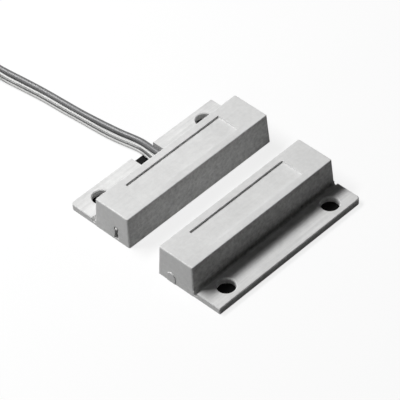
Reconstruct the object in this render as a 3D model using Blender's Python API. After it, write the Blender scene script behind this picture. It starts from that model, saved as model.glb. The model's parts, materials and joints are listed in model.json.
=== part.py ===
"""Surface magnetic door contact: a reed switch unit and its magnet unit, set side by side.

Metres, +Z up. X runs along both units, Y from the magnet unit to the switch unit, and both stand on z = 0.
Each unit is modelled in a frame of its own: x from the unit's middle, y from its plain long side to its
flange side, z from its base. An empty puts that frame in its place.
"""

import math

import bmesh
import bpy
import numpy as np
from mathutils import Matrix, Vector

MM = 0.001

# Moulding shared by both units
UNIT_LENGTH = 48.0 * MM
HOUSING_WIDTH = 11.5 * MM
HOUSING_HEIGHT = 8.8 * MM
DRAFT = 0.42 * MM  # how far each wall leans in from base to top
CORNER_RADIUS = 0.45 * MM
TOP_FILLET = 0.28 * MM
FLANGE_REACH = 8.25 * MM  # from the housing's side to the flange's outer edge
FLANGE_THICKNESS = 1.8 * MM
FLANGE_EDGE_BREAK = 0.2 * MM
FLANGE_ROUND_CORNER = 1.0 * MM
FLANGE_SHARP_CORNER = 0.3 * MM
FLANGE_END_STEP = 0.08 * MM  # the flange's ends stand back from the housing's
GROOVE_WIDTH = 1.2 * MM
GROOVE_WEB = 0.6 * MM  # what the snap-off groove leaves under itself
SCREW_HOLE_DIAMETER = 4.7 * MM
SCREW_HOLE_FROM_END = 6.4 * MM
SCREW_HOLE_CHAMFER = 0.2 * MM
SCREW_HOLE_FROM_SIDE = 4.25 * MM
PANEL_FROM_END = 7.9 * MM  # plain border that the top face keeps round the panel
PANEL_FROM_SIDE = 2.0 * MM
PANEL_DEPTH = 0.5 * MM
PANEL_CORNER = 0.25 * MM
PANEL_DRAFT = 0.12 * MM
WALL = 1.3 * MM
ROOF = 1.6 * MM
CAVITY_CORNER = 0.7 * MM
CAVITY_DRAFT = 0.25 * MM
END_PAD_WIDTH = 2.5 * MM
END_PAD_HEIGHT = 2.95 * MM
END_PAD_PROUD = 0.12 * MM

# The window in one end wall, where the reed's cropped lead shows
WINDOW_TOP_WIDTH = 0.9 * MM
WINDOW_BOTTOM_WIDTH = 1.4 * MM
WINDOW_SILL = 0.45 * MM

# Way out for the two leads
LEAD_GAP_WIDTH = 7.4 * MM
LEAD_GAP_LEDGE = 0.3 * MM
LEAD_NOTCH_WIDTH = 5.0 * MM
LEAD_NOTCH_HEIGHT = 2.9 * MM
LEAD_NOTCH_CORNER = 0.8 * MM
LEAD_NOTCH_OFFSET = 0.4 * MM

# Reed switch
REED_OFFSET = 1.4 * MM  # from the housing's middle towards its plain side
REED_HEIGHT = 3.4 * MM
GLASS_LENGTH = 14.0 * MM
GLASS_DIAMETER = 2.3 * MM
GLASS_WALL = 0.4 * MM
GLASS_SEAL = 2.2 * MM
REED_WIRE_DIAMETER = 0.5 * MM
BLADE_WIDTH = 0.85 * MM
BLADE_THICKNESS = 0.22 * MM
BLADE_OVERLAP = 1.4 * MM
BLADE_NECK = 1.2 * MM
CROPPED_HEAD_DIAMETER = 0.86 * MM
CROPPED_HEAD_LENGTH = 0.5 * MM
CROPPED_HEAD_PROUD = 0.1 * MM
SOLDER_FROM_GLASS = 2.6 * MM
SOLDER_LENGTH = 3.0 * MM
SOLDER_WALL = 0.45 * MM
SHORT_LEAD_PAST_SOLDER = 0.8 * MM
CRADLE_THICKNESS = 1.0 * MM
CRADLE_SPACING = 9.0 * MM
CRADLE_CHEEK = 1.0 * MM  # beside the glass
BLADE_SQUARENESS = 0.35  # power of the blade's section: 1 is round, 0 is square
NECK_SQUARENESS = 0.7

# Leads
LEAD_DIAMETER = 1.7 * MM
LEAD_CORE_DIAMETER = 0.6 * MM
LEAD_SPACING = 2.4 * MM
BARED_LENGTH = 2.6 * MM  # from the end of a lead's insulation to the middle of its solder joint
CORE_BOW = 0.5 * MM
CORE_LAND = 1.0 * MM  # last stretch of the core, laid along the solder joint
LEAD_TIP_LENGTH = 5.0 * MM
LEAD_TAIL_LENGTH = 20.0 * MM  # insulated, past the coil's middle
TAIL_FALL = 0.7  # share of the tail over which it comes down to the table
COIL_CENTRE_X = -14.5 * MM
COIL_CENTRE_Y = 76.0 * MM
COIL_TURN_DIAMETER = 18.5 * MM  # at the middle of the turns
COIL_PITCH = 1.76 * MM
COIL_TRACKS = 4
COIL_LAYERS = 2
TIE_WIDTH = 3.0 * MM
TIE_THICKNESS = 0.2 * MM
TIE_AZIMUTH = math.radians(220.0)

# Magnet
MAGNET_LENGTH = 30.0 * MM
MAGNET_WIDTH = 6.0 * MM
MAGNET_HEIGHT = 4.8 * MM
MAGNET_EDGE_BREAK = 0.3 * MM
STOP_RIB_THICKNESS = 1.0 * MM
STOP_RIB_DROP = 2.6 * MM

# Fits
SEAT_GAP = 0.3 * MM
POTTING_BELOW_RIM = 0.4 * MM

# How the pair stands
FACING_GAP = 10.34 * MM
SIDE_STEP = 1.0 * MM  # the switch unit stands this much further along than the magnet unit

ARC_STEPS = 5
ROUND_STEPS = 24
TAIL_STEPS = 12
REED_STEPS = 16


def material(name, colour, roughness, metallic=0.0, alpha=1.0):
    """A Principled material with one colour."""
    made = bpy.data.materials.new(name)
    made.use_nodes = True
    shader = made.node_tree.nodes["Principled BSDF"]
    shader.inputs["Base Color"].default_value = (*colour, 1.0)
    shader.inputs["Roughness"].default_value = roughness
    shader.inputs["Metallic"].default_value = metallic
    shader.inputs["Alpha"].default_value = alpha
    made.diffuse_color = (*colour, alpha)
    return made


def add_object(name, data, finish=None, parent=None):
    """Link an object that holds data, with its material and its parent's frame."""
    made = bpy.data.objects.new(name, data)
    bpy.context.scene.collection.objects.link(made)
    if finish is not None:
        data.materials.append(finish)
    if parent is not None:
        made.parent = parent
    return made


def mesh_from(bm, name, smooth_angle=None):
    """Close a bmesh into a mesh with its faces pointing out."""
    bmesh.ops.recalc_face_normals(bm, faces=bm.faces)
    mesh = bpy.data.meshes.new(name)
    bm.to_mesh(mesh)
    bm.free()
    if smooth_angle is not None:
        mesh.shade_smooth()
        mesh.set_sharp_from_angle(angle=math.radians(smooth_angle))
    return mesh


def loft(name, rings, smooth_angle=None, closed=False):
    """Skin a row of rings that have the same number of points.

    The two end rings are capped, or joined to each other where closed is set.
    """
    bm = bmesh.new()
    rows = [[bm.verts.new(point) for point in ring] for ring in rings]
    count = len(rows[0])
    pairs = list(zip(rows[:-1], rows[1:], strict=True))
    if closed:
        pairs.append((rows[-1], rows[0]))
    for low, high in pairs:
        for i in range(count):
            j = (i + 1) % count
            bm.faces.new((low[i], low[j], high[j], high[i]))
    if not closed:
        bm.faces.new(rows[0])
        bm.faces.new(rows[-1])
    return mesh_from(bm, name, smooth_angle)


def rounded_outline(x_range, y_range, radii, z):
    """A rectangle with a round at each corner, counter-clockwise from its low x, low y corner."""
    corners = [
        (x_range[0], y_range[0], math.pi),
        (x_range[1], y_range[0], 1.5 * math.pi),
        (x_range[1], y_range[1], 0.0),
        (x_range[0], y_range[1], 0.5 * math.pi),
    ]
    points = []
    for (x, y, start), radius in zip(corners, radii, strict=True):
        centre_x = x + radius if x == x_range[0] else x - radius
        centre_y = y + radius if y == y_range[0] else y - radius
        for turn in np.linspace(start, start + 0.5 * math.pi, ARC_STEPS + 1):
            points.append(Vector((centre_x + radius * math.cos(turn), centre_y + radius * math.sin(turn), z)))
    return points


def revolve(name, profile, steps=ROUND_STEPS, closed=False, smooth_angle=35):
    """Turn a profile of (x, radius) points about the X axis."""
    rings = []
    for x, radius in profile:
        turns = [2 * math.pi * k / steps for k in range(steps)]
        rings.append([Vector((x, radius * math.cos(a), radius * math.sin(a))) for a in turns])
    return loft(name, rings, smooth_angle, closed)


def box_mesh(name, x_range, y_range, z_range):
    """A plain block between three pairs of limits."""
    rings = [
        [Vector((x, y, z)) for x, y in ((x_range[0], y_range[0]), (x_range[1], y_range[0]),
                                       (x_range[1], y_range[1]), (x_range[0], y_range[1]))]
        for z in z_range
    ]
    return loft(name, rings)


def shape(target, tool_mesh, operation, place=None):
    """Cut, or join, a tool into a target with a Boolean, and keep the tool as a hidden guide."""
    number = len(target.modifiers) + 1
    tool = add_object(f"{target.name}_tool_{number}", tool_mesh, parent=target.parent)
    tool.matrix_local = place or Matrix.Identity(4)
    tool.hide_render = True
    tool.display_type = "WIRE"
    step = target.modifiers.new(f"{operation.lower()}_{number}", "BOOLEAN")
    step.operation = operation
    step.solver = "EXACT"
    step.object = tool
    return tool


def smooth_route(points, spacing):
    """Points about spacing apart on a Catmull-Rom curve through the given ones."""
    route = np.array([tuple(p) for p in points])
    ends = np.vstack([2 * route[0] - route[1], route, 2 * route[-1] - route[-2]])
    fine = []
    for a, b, c, d in zip(ends[:-3], ends[1:-2], ends[2:-1], ends[3:], strict=True):
        for t in np.linspace(0, 1, 24, endpoint=False):
            fine.append(0.5 * (2 * b + (c - a) * t + (2 * a - 5 * b + 4 * c - d) * t**2
                               + (3 * b - a - 3 * c + d) * t**3))
    fine.append(route[-1])
    fine = np.array(fine)
    along = np.concatenate([[0], np.cumsum(np.linalg.norm(np.diff(fine, axis=0), axis=1))])
    at = np.linspace(0, along[-1], max(2, round(along[-1] / spacing) + 1))
    return np.stack([np.interp(at, along, fine[:, k]) for k in range(3)], axis=1)


def tube_curve(name, points, diameter):
    """A filled round tube along a row of points."""
    data = bpy.data.curves.new(name, "CURVE")
    data.dimensions = "3D"
    data.bevel_depth = diameter / 2
    data.bevel_resolution = 2
    data.use_fill_caps = True
    spline = data.splines.new("POLY")
    spline.points.add(len(points) - 1)
    for point, place in zip(spline.points, points, strict=True):
        point.co = (*place, 1.0)
    return data


def tube_mesh(name, points, diameter, steps=10):
    """The same tube as a mesh, for a tool or a short stiff wire."""
    points = np.array([tuple(p) for p in points])
    tangents = np.gradient(points, axis=0)
    tangents /= np.linalg.norm(tangents, axis=1)[:, None]
    side = np.cross(tangents[0], (0.0, 0.0, 1.0))
    rings = []
    for place, tangent in zip(points, tangents, strict=True):
        side = side - tangent * side.dot(tangent)
        side /= np.linalg.norm(side)
        up = np.cross(side, tangent)
        turns = [2 * math.pi * k / steps for k in range(steps)]
        rings.append([Vector(place + diameter / 2 * (side * math.cos(a) + up * math.sin(a))) for a in turns])
    return loft(name, rings, 35)


def reed_line():
    """The y of the line that the reed lies on."""
    return HOUSING_WIDTH / 2 - REED_OFFSET


def wall_lean(height):
    """How far a drafted wall stands in from its foot at this height."""
    return DRAFT * height / HOUSING_HEIGHT


def housing_block(name):
    """The drafted box: rounded upright edges and a rolled top edge."""
    profile = [(0.0, 0.0)]
    for turn in np.linspace(0, 0.5 * math.pi, ARC_STEPS):
        rise = HOUSING_HEIGHT - TOP_FILLET * (1 - math.sin(turn))
        profile.append((rise, TOP_FILLET * (1 - math.cos(turn))))
    rings = []
    for z, rolled in profile:
        inset = wall_lean(min(z, HOUSING_HEIGHT - TOP_FILLET)) + rolled
        radius = max(CORNER_RADIUS - rolled, 0.25 * CORNER_RADIUS)
        half = UNIT_LENGTH / 2 - inset
        rings.append(rounded_outline((-half, half), (inset, HOUSING_WIDTH - inset), [radius] * 4, z))
    return loft(name, rings, 40)


def flange_plate(name):
    """The screw flange: one outer corner round, the other nearly sharp, and a broken top edge."""
    rings = []
    shoulder = FLANGE_THICKNESS - FLANGE_EDGE_BREAK
    for z, inset in ((0.0, 0.0), (shoulder, 0.0), (FLANGE_THICKNESS, FLANGE_EDGE_BREAK)):
        half = UNIT_LENGTH / 2 - FLANGE_END_STEP - inset
        outer = HOUSING_WIDTH + FLANGE_REACH - inset
        inner = HOUSING_WIDTH - WALL / 2
        root = FLANGE_SHARP_CORNER / 2
        radii = [root, root, FLANGE_SHARP_CORNER, FLANGE_ROUND_CORNER]
        rings.append(rounded_outline((-half, half), (inner, outer), radii, z))
    return loft(name, rings, 40)


def groove_tool(name):
    """The snap-off groove's section, a slot with a round bottom, carried past both ends."""
    radius = GROOVE_WIDTH / 2
    middle = HOUSING_WIDTH - wall_lean(FLANGE_THICKNESS) + radius
    section = [(middle + radius, FLANGE_THICKNESS + GROOVE_WIDTH)]
    for turn in np.linspace(0, math.pi, 2 * ARC_STEPS + 1):
        section.append((middle + radius * math.cos(turn), GROOVE_WEB + radius * (1 - math.sin(turn))))
    section.append((middle - radius, FLANGE_THICKNESS + GROOVE_WIDTH))
    reach = UNIT_LENGTH / 2 + GROOVE_WIDTH
    return loft(name, [[Vector((x, y, z)) for y, z in section] for x in (-reach, reach)])


def screw_hole_tool(name):
    """A plain screw hole with a small chamfer at the flange's top face."""
    radius = SCREW_HOLE_DIAMETER / 2
    top = FLANGE_THICKNESS
    profile = [(-top, radius), (top - SCREW_HOLE_CHAMFER, radius),
               (top, radius + SCREW_HOLE_CHAMFER), (2 * top, radius + SCREW_HOLE_CHAMFER + top)]
    mesh = revolve(name, profile, 2 * ROUND_STEPS)
    mesh.transform(Matrix.Rotation(-0.5 * math.pi, 4, "Y"))
    return mesh


def panel_tool(name):
    """The sunk panel in the top face, with leaning sides."""
    middle = HOUSING_WIDTH / 2
    rings = []
    for z, grow in ((HOUSING_HEIGHT - PANEL_DEPTH, -PANEL_DRAFT), (HOUSING_HEIGHT, 0.0),
                    (HOUSING_HEIGHT + PANEL_DEPTH, PANEL_DRAFT)):
        half_x = UNIT_LENGTH / 2 - DRAFT - PANEL_FROM_END + grow
        half_y = HOUSING_WIDTH / 2 - DRAFT - PANEL_FROM_SIDE + grow
        y_range = (middle - half_y, middle + half_y)
        rings.append(rounded_outline((-half_x, half_x), y_range, [PANEL_CORNER] * 4, z))
    return loft(name, rings)


def cavity_rings(clearance, low, high):
    """Outlines of the hollow under the roof, drawn in by a clearance, at two heights."""
    rings = []
    for z in (low, high):
        inset = WALL + clearance + CAVITY_DRAFT * max(z, 0.0) / HOUSING_HEIGHT
        half = UNIT_LENGTH / 2 - inset
        rings.append(rounded_outline((-half, half), (inset, HOUSING_WIDTH - inset), [CAVITY_CORNER] * 4, z))
    return rings


def arch_section(width, height, foot):
    """An upright arch in (y, z): straight sides with a half-round top, centred on the reed's line."""
    radius = width / 2
    section = [(reed_line() - radius, foot), (reed_line() + radius, foot)]
    for turn in np.linspace(0, math.pi, 2 * ARC_STEPS + 1):
        section.append((reed_line() + radius * math.cos(turn), height - radius + radius * math.sin(turn)))
    return section


def end_pad_mesh(name):
    """The low arch-shaped pad on the end wall that has no window."""
    section = arch_section(END_PAD_WIDTH, END_PAD_HEIGHT, 0.0)
    inner = UNIT_LENGTH / 2 - WALL / 2
    outer = UNIT_LENGTH / 2 + END_PAD_PROUD
    rings = [[Vector((x, y, z)) for y, z in section] for x in (inner, outer)]
    return loft(name, rings)


def window_tool(name):
    """The keyhole window through the end wall: a round seat for the lead and a slot that widens downwards."""
    seat = CROPPED_HEAD_DIAMETER / 2 + SEAT_GAP
    meet = math.acos(min(1.0, WINDOW_TOP_WIDTH / 2 / seat))
    section = [(reed_line() - WINDOW_BOTTOM_WIDTH / 2, WINDOW_SILL),
               (reed_line() + WINDOW_BOTTOM_WIDTH / 2, WINDOW_SILL)]
    for turn in np.linspace(-meet, math.pi + meet, 3 * ARC_STEPS):
        section.append((reed_line() + seat * math.cos(turn), REED_HEIGHT + seat * math.sin(turn)))
    outer = -UNIT_LENGTH / 2 - WALL
    inner = -UNIT_LENGTH / 2 + 1.5 * WALL
    return loft(name, [[Vector((x, y, z)) for y, z in section] for x in (outer, inner)])


def roof_height():
    """The underside of the housing's roof."""
    return HOUSING_HEIGHT - ROOF


def cradle_section(clearance):
    """A rib that hangs from the roof, with a half-round seat for the glass, in (y, z)."""
    low_y = WALL / 2 - clearance
    high_y = reed_line() + GLASS_DIAMETER / 2 + CRADLE_CHEEK + clearance
    foot = REED_HEIGHT - clearance
    seat = GLASS_DIAMETER / 2 + SEAT_GAP - clearance
    top = roof_height() + ROOF / 3
    section = [(low_y, foot)]
    for turn in np.linspace(math.pi, 0, 2 * ARC_STEPS + 1):
        section.append((reed_line() + seat * math.cos(turn), REED_HEIGHT + seat * math.sin(turn)))
    section[1] = (section[1][0], foot)
    section[-1] = (section[-1][0], foot)
    section += [(high_y, foot), (high_y, top), (low_y, top)]
    return section


def cradle_mesh(name, middle_x, clearance=0.0):
    """One cradle rib across the hollow."""
    half = CRADLE_THICKNESS / 2 + clearance
    section = cradle_section(clearance)
    return loft(name, [[Vector((x, y, z)) for y, z in section] for x in (middle_x - half, middle_x + half)])


def stop_rib_mesh(name, side, clearance=0.0):
    """A rib that hangs from the roof just past one end of the magnet."""
    near = MAGNET_LENGTH / 2 + SEAT_GAP - clearance
    far = MAGNET_LENGTH / 2 + SEAT_GAP + STOP_RIB_THICKNESS + clearance
    x_range = (near, far) if side > 0 else (-far, -near)
    y_range = (WALL / 2, HOUSING_WIDTH - WALL / 2)
    if clearance:
        y_range = (0.0, HOUSING_WIDTH)
    z_range = (roof_height() - STOP_RIB_DROP - clearance, roof_height() + ROOF / 3)
    return box_mesh(name, x_range, y_range, z_range)


def moulded_housing(name, finish, parent):
    """One housing with its flange, groove, screw holes, sunk panel, hollow, end pad and end window."""
    housing = add_object(name, housing_block(name), finish, parent)
    shape(housing, flange_plate(f"{name}_flange"), "UNION")
    shape(housing, groove_tool(f"{name}_groove"), "DIFFERENCE")
    for side in (-1, 1):
        hole_x = side * (UNIT_LENGTH / 2 - SCREW_HOLE_FROM_END)
        place = Matrix.Translation((hole_x, HOUSING_WIDTH + SCREW_HOLE_FROM_SIDE, 0))
        shape(housing, screw_hole_tool(f"{name}_screw_hole"), "DIFFERENCE", place)
    shape(housing, panel_tool(f"{name}_panel"), "DIFFERENCE")
    shape(housing, loft(f"{name}_hollow", cavity_rings(0.0, -WALL, roof_height())), "DIFFERENCE")
    shape(housing, end_pad_mesh(f"{name}_pad"), "UNION")
    shape(housing, window_tool(f"{name}_window"), "DIFFERENCE")
    return housing


def lead_notch_tool(name):
    """The arch-topped notch in the flange-side wall that both leads lie in."""
    middle = LEAD_NOTCH_OFFSET
    half = LEAD_NOTCH_WIDTH / 2
    top = LEAD_NOTCH_HEIGHT
    section = [(middle - half, -top), (middle + half, -top)]
    for corner, start in ((half - LEAD_NOTCH_CORNER, 0.0), (-half + LEAD_NOTCH_CORNER, 0.5 * math.pi)):
        for turn in np.linspace(start, start + 0.5 * math.pi, ARC_STEPS + 1):
            section.append((middle + corner + LEAD_NOTCH_CORNER * math.cos(turn),
                            top - LEAD_NOTCH_CORNER + LEAD_NOTCH_CORNER * math.sin(turn)))
    inner = HOUSING_WIDTH - 2 * WALL
    outer = HOUSING_WIDTH + 2 * LEAD_GAP_LEDGE
    return loft(name, [[Vector((x, y, z)) for x, z in section] for y in (inner, outer)])


def switch_housing(finish, parent):
    """The switch unit's moulding: leads notch, gap in the flange and two cradle ribs."""
    housing = moulded_housing("switch_housing", finish, parent)
    half = LEAD_GAP_WIDTH / 2
    start = HOUSING_WIDTH + LEAD_GAP_LEDGE
    end = HOUSING_WIDTH + 2 * FLANGE_REACH
    gap = box_mesh("lead_gap", (-half, half), (start, end), (-FLANGE_THICKNESS, 2 * FLANGE_THICKNESS))
    shape(housing, gap, "DIFFERENCE")
    shape(housing, lead_notch_tool("lead_notch"), "DIFFERENCE")
    for side in (-1, 1):
        shape(housing, cradle_mesh("cradle", side * CRADLE_SPACING / 2), "UNION")
    return housing


def reed_mesh(name, side, tip_x, head):
    """One reed: a round lead, flattened inside the glass into a springy blade.

    Side is -1 or 1 for the end of the glass that it leaves by. Each section is a superellipse, so it
    goes from round to flat with no seam. The blade lies below the reed's line on side -1, above on 1.
    """
    wire = REED_WIRE_DIAMETER / 2
    lift = side * (BLADE_THICKNESS + SEAT_GAP) / 2
    neck = GLASS_LENGTH / 2 - GLASS_SEAL
    stations = [(-BLADE_OVERLAP / 2, BLADE_WIDTH / 2, BLADE_THICKNESS / 2, lift, BLADE_SQUARENESS)]
    stations.append((neck - BLADE_NECK, BLADE_WIDTH / 2, BLADE_THICKNESS / 2, lift, BLADE_SQUARENESS))
    stations.append((neck - BLADE_NECK / 2, (BLADE_WIDTH / 2 + wire) / 2, (BLADE_THICKNESS / 2 + wire) / 2,
                     lift / 2, NECK_SQUARENESS))
    stations.append((neck, wire, wire, 0.0, 1.0))
    if head:
        stations.append((tip_x - CROPPED_HEAD_LENGTH, wire, wire, 0.0, 1.0))
        for turn in (math.pi / 8, math.pi / 4, 3 * math.pi / 8):
            swell = CROPPED_HEAD_DIAMETER / 2 * math.cos(turn)
            stations.append((tip_x - CROPPED_HEAD_LENGTH * (1 - math.sin(turn)) / 2, swell, swell, 0.0, 1.0))
    else:
        stations.append((tip_x, wire, wire, 0.0, 1.0))
    rings = []
    for x, half_width, half_height, rise, power in stations:
        ring = []
        for turn in np.linspace(0, 2 * math.pi, REED_STEPS, endpoint=False):
            y = half_width * math.copysign(abs(math.cos(turn)) ** power, math.cos(turn))
            z = half_height * math.copysign(abs(math.sin(turn)) ** power, math.sin(turn))
            ring.append(Vector((side * x, reed_line() + y, REED_HEIGHT + rise + z)))
        rings.append(ring)
    return loft(name, rings, 35)


def place_on_reed_line(mesh):
    """Move a shape turned about X onto the reed's line."""
    mesh.transform(Matrix.Translation((0, reed_line(), REED_HEIGHT)))
    return mesh


def glass_mesh(name):
    """The glass capsule: a tube drawn in to a seal round each lead."""
    outer = GLASS_DIAMETER / 2
    inner = outer - GLASS_WALL
    seal = REED_WIRE_DIAMETER / 2 + SEAT_GAP
    end = GLASS_LENGTH / 2
    shoulder = outer - seal
    profile = []
    for side in (-1, 1):
        arc = [(end - shoulder * (1 - math.sin(a)), seal + shoulder * math.cos(a))
               for a in np.linspace(0.48, 0.0, ARC_STEPS) * math.pi]
        half = [(side * x, r) for x, r in arc]
        profile += half if side < 0 else half[::-1]
    profile += [(end - GLASS_SEAL / 3, seal), (end - GLASS_SEAL, inner),
                (-end + GLASS_SEAL, inner), (-end + GLASS_SEAL / 3, seal)]
    return place_on_reed_line(revolve(name, profile, closed=True))


def solder_middle():
    """Distance of each solder joint's middle from the reed's middle."""
    return GLASS_LENGTH / 2 + SOLDER_FROM_GLASS + SOLDER_LENGTH / 2


def solder_outer():
    """Radius of a solder joint at its thickest."""
    return REED_WIRE_DIAMETER / 2 + SEAT_GAP + SOLDER_WALL


def solder_mesh(name, side, clearance=0.0):
    """A spindle of solder on the lead, with a bore that the lead passes through.

    With a clearance it is the plain swollen spindle, the shape of the hollow that it needs.
    """
    bore = REED_WIRE_DIAMETER / 2 + SEAT_GAP
    middle = side * solder_middle()
    half = SOLDER_LENGTH / 2 + clearance
    profile = []
    for share in np.linspace(-1, 1, 2 * ARC_STEPS + 1):
        swell = (SOLDER_WALL - SOLDER_WALL / 4) * (1 - share**2) + SOLDER_WALL / 4
        profile.append((middle + half * share, bore + swell + clearance))
    if clearance:
        return place_on_reed_line(revolve(name, profile))
    profile += [(middle + half, bore), (middle - half, bore)]
    return place_on_reed_line(revolve(name, profile, closed=True))


def lead_side(side):
    """The x of one lead in the notch; side is -1 for the light lead and 1 for the dark one."""
    return LEAD_NOTCH_OFFSET + side * LEAD_SPACING / 2


def lead_rise():
    """Height of the leads' centre in the notch."""
    return LEAD_NOTCH_HEIGHT - SEAT_GAP - LEAD_DIAMETER / 2


def inner_route(side):
    """The lead inside the housing, from its stripped end to the outer face of the notch.

    It runs beside the glass, rising towards the reed, then bends out through the wall.
    """
    x = lead_side(side)
    z = lead_rise()
    wall = HOUSING_WIDTH - WALL
    beside = reed_line() + (GLASS_DIAMETER + LEAD_DIAMETER) / 2 + SEAT_GAP
    bend = wall - beside
    near = x + side * bend
    far = side * (solder_middle() - BARED_LENGTH)
    climb = (REED_HEIGHT - z) / 2
    points = [Vector((near + share * (far - near), beside, z + share * climb)) for share in (1.0, 0.5, 0.0)]
    for turn in (math.pi / 6, math.pi / 3):
        points.append(Vector((x + side * bend * (1 - math.sin(turn)), wall - bend * math.cos(turn), z)))
    points.append(Vector((x, wall, z)))
    points.append(Vector((x, HOUSING_WIDTH, z)))
    return points


def core_route(side):
    """The bare core, from the insulation's end to the side of the solder joint."""
    start = inner_route(side)[0] + Vector((side * SEAT_GAP, 0, 0))
    reach = solder_outer() + SEAT_GAP + LEAD_CORE_DIAMETER / 2
    end = Vector((side * solder_middle(), reed_line() + reach, REED_HEIGHT))
    middle = start.lerp(end, 0.5) + Vector((side * CORE_BOW / 2, CORE_BOW, 0))
    return [start, middle, end - Vector((side * CORE_LAND, 0, 0)), end]


def switch_inside(parts, parent):
    """The reed switch, its solder joints and the leads' bare ends."""
    crop = UNIT_LENGTH / 2 - wall_lean(REED_HEIGHT) + CROPPED_HEAD_PROUD
    short = solder_middle() + SOLDER_LENGTH / 2 + SHORT_LEAD_PAST_SOLDER
    add_object("reed_glass", glass_mesh("reed_glass"), parts["glass"], parent)
    add_object("reed_long_lead", reed_mesh("reed_long_lead", -1, crop, True), parts["reed"], parent)
    add_object("reed_short_lead", reed_mesh("reed_short_lead", 1, short, False), parts["reed"], parent)
    for side, colour in ((-1, "light"), (1, "dark")):
        joint = f"{colour}_solder_joint"
        add_object(joint, solder_mesh(joint, side), parts["solder"], parent)
        core = f"{colour}_lead_core"
        route = smooth_route(core_route(side), LEAD_CORE_DIAMETER)
        add_object(core, tube_mesh(core, route, LEAD_CORE_DIAMETER), parts["core"], parent)


def switch_potting(finish, parent):
    """The resin that fills the switch unit's hollow, with room for all that it holds."""
    low, high = POTTING_BELOW_RIM, roof_height() - SEAT_GAP
    resin = loft("switch_potting", cavity_rings(SEAT_GAP, low, high))
    potting = add_object("switch_potting", resin, finish, parent)
    for side in (-1, 1):
        shape(potting, cradle_mesh("cradle_room", side * CRADLE_SPACING / 2, SEAT_GAP), "DIFFERENCE")
    glass = GLASS_DIAMETER / 2 + SEAT_GAP
    end = GLASS_LENGTH / 2 + SEAT_GAP
    barrel = place_on_reed_line(revolve("glass_room", [(-end, 0.6 * glass), (-0.9 * end, glass),
                                                       (0.9 * end, glass), (end, 0.6 * glass)]))
    shape(potting, barrel, "DIFFERENCE")
    wire = REED_WIRE_DIAMETER / 2 + SEAT_GAP
    short = solder_middle() + SOLDER_LENGTH / 2 + SHORT_LEAD_PAST_SOLDER + SEAT_GAP
    lead = place_on_reed_line(revolve("lead_room", [(-UNIT_LENGTH / 2, wire), (short, wire)]))
    shape(potting, lead, "DIFFERENCE")
    for side in (-1, 1):
        shape(potting, solder_mesh("solder_room", side, SEAT_GAP), "DIFFERENCE")
        core = smooth_route(core_route(side), LEAD_CORE_DIAMETER)
        shape(potting, tube_mesh("core_room", core, LEAD_CORE_DIAMETER + 2 * SEAT_GAP), "DIFFERENCE")
        route = inner_route(side)
        ahead = (route[0] - route[1]).normalized() * SEAT_GAP
        route = smooth_route([route[0] + ahead] + route, LEAD_DIAMETER)
        shape(potting, tube_mesh("lead_room", route, LEAD_DIAMETER + 2 * SEAT_GAP, 16), "DIFFERENCE")
    return potting


# The leads' routes outside, in the switch unit's frame and in millimetres, from the notch to the coil
LIGHT_ROUTE = (
    (-0.7, 13.2, 1.7), (-0.25, 15.5, 1.5), (0.25, 18.4, 1.25), (0.45, 20.9, 1.0), (0.1, 23.5, 0.88),
    (-0.5, 26.5, 0.85), (-1.05, 30.0, 0.85), (-1.4, 34.0, 0.85), (-1.75, 39.0, 0.85), (-2.2, 45.0, 0.85),
    (-2.6, 51.5, 0.85), (-3.35, 58.0, 0.87), (-3.95, 62.6, 0.95), (-4.25, 66.9, 1.1),
)
DARK_ROUTE = (
    (1.75, 13.2, 1.7), (2.0, 15.5, 1.5), (2.25, 18.5, 1.3), (2.45, 20.8, 1.08), (2.45, 23.0, 0.95),
    (2.0, 25.9, 0.87), (1.4, 29.0, 0.85), (0.65, 34.5, 0.85), (0.0, 40.5, 0.85), (-0.4, 46.5, 0.85),
    (-0.8, 53.0, 0.85), (-1.45, 59.5, 0.87), (-2.1, 64.5, 0.95), (-2.55, 69.2, 1.1),
)


def coil_inner_radius():
    """Radius of the coil's hole."""
    return (COIL_TURN_DIAMETER - COIL_TRACKS * COIL_PITCH) / 2


def coil_outer_radius():
    """Radius of the coil's rim."""
    return coil_inner_radius() + COIL_TRACKS * COIL_PITCH


def coil_foot():
    """Height of the coil's underside, which stands on its tie."""
    return TIE_THICKNESS + SEAT_GAP


def coil_mesh(name):
    """The coil's outer shape: a ring with a rounded section, turned about its own upright axis."""
    inner = coil_inner_radius()
    outer = coil_outer_radius()
    foot = coil_foot()
    top = foot + LEAD_DIAMETER + (COIL_LAYERS - 1) * COIL_PITCH
    edge = LEAD_DIAMETER / 3
    profile = [(foot, inner + edge), (foot, outer - edge), (foot + edge, outer), (top - edge, outer),
               (top, outer - edge), (top, inner + edge), (top - edge, inner), (foot + edge, inner)]
    mesh = revolve(name, profile, 2 * ROUND_STEPS, closed=True)
    upright = Matrix.Rotation(-0.5 * math.pi, 4, "Y")
    mesh.transform(Matrix.Translation((COIL_CENTRE_X, COIL_CENTRE_Y, 0)) @ upright)
    return mesh


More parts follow.
